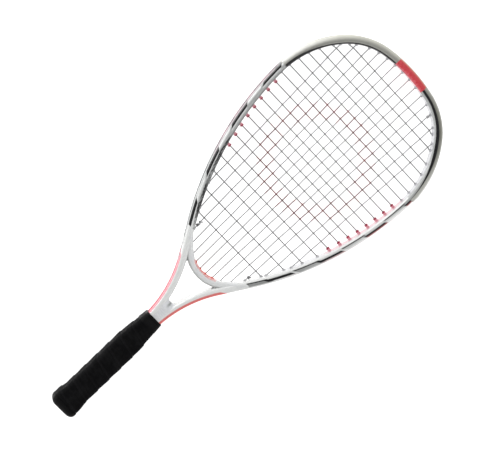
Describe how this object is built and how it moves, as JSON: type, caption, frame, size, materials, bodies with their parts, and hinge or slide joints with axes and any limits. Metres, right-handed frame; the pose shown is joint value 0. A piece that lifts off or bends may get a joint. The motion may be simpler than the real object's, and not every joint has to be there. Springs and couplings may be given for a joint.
{
  "type": "squash racket",
  "caption": "Junior squash racket with a strung teardrop head, a curved bridge over an open throat, a slim shaft and a spiral-wrapped grip.",
  "frame": {"origin": "Middle of the flat butt end of the grip, in the plane of the string bed.", "axes": "+X to the right across the head, +Y along the racket from the butt to the tip, +Z out of the front face of the string bed."},
  "size_m": [0.216, 0.5334, 0.0284],
  "materials": {
    "frame": "gloss",
    "bridge": "gloss",
    "bumper": "satin",
    "side_grommets": "satin",
    "grommets": "satin",
    "bridge_strip": "satin",
    "main_string": "satin",
    "cross_string": "satin",
    "pallet": "matte",
    "fastener": "satin",
    "cap": "matte",
    "wrap": "matte",
    "tape": "satin",
    "collar": "satin"
  },
  "bodies": {
    "root": {"frame_tube": "frame", "throat_bridge": "bridge", "throat_web": "bridge", "bumper_guard": "bumper", "side_grommet_strip_left": "side_grommets", "side_grommet_strip_right": "side_grommets", "lower_grommet_strip_left": "grommets", "lower_grommet_strip_right": "grommets", "bridge_grommet_strip": "bridge_strip", "arm_grommets": "grommets", "main_strings": "main_string", "cross_strings": "cross_string", "main_string_loops": "main_string", "cross_string_loops": "cross_string", "main_string_knots": "cross_string", "cross_string_knots": "cross_string", "pallet_front": "pallet", "pallet_back": "pallet", "pallet_screws": "fastener", "butt_cap": "cap", "butt_cap_tacks": "fastener", "grip_wrap": "wrap", "finishing_tape": "tape", "grip_collar": "collar"}
  },
  "joints": []
}
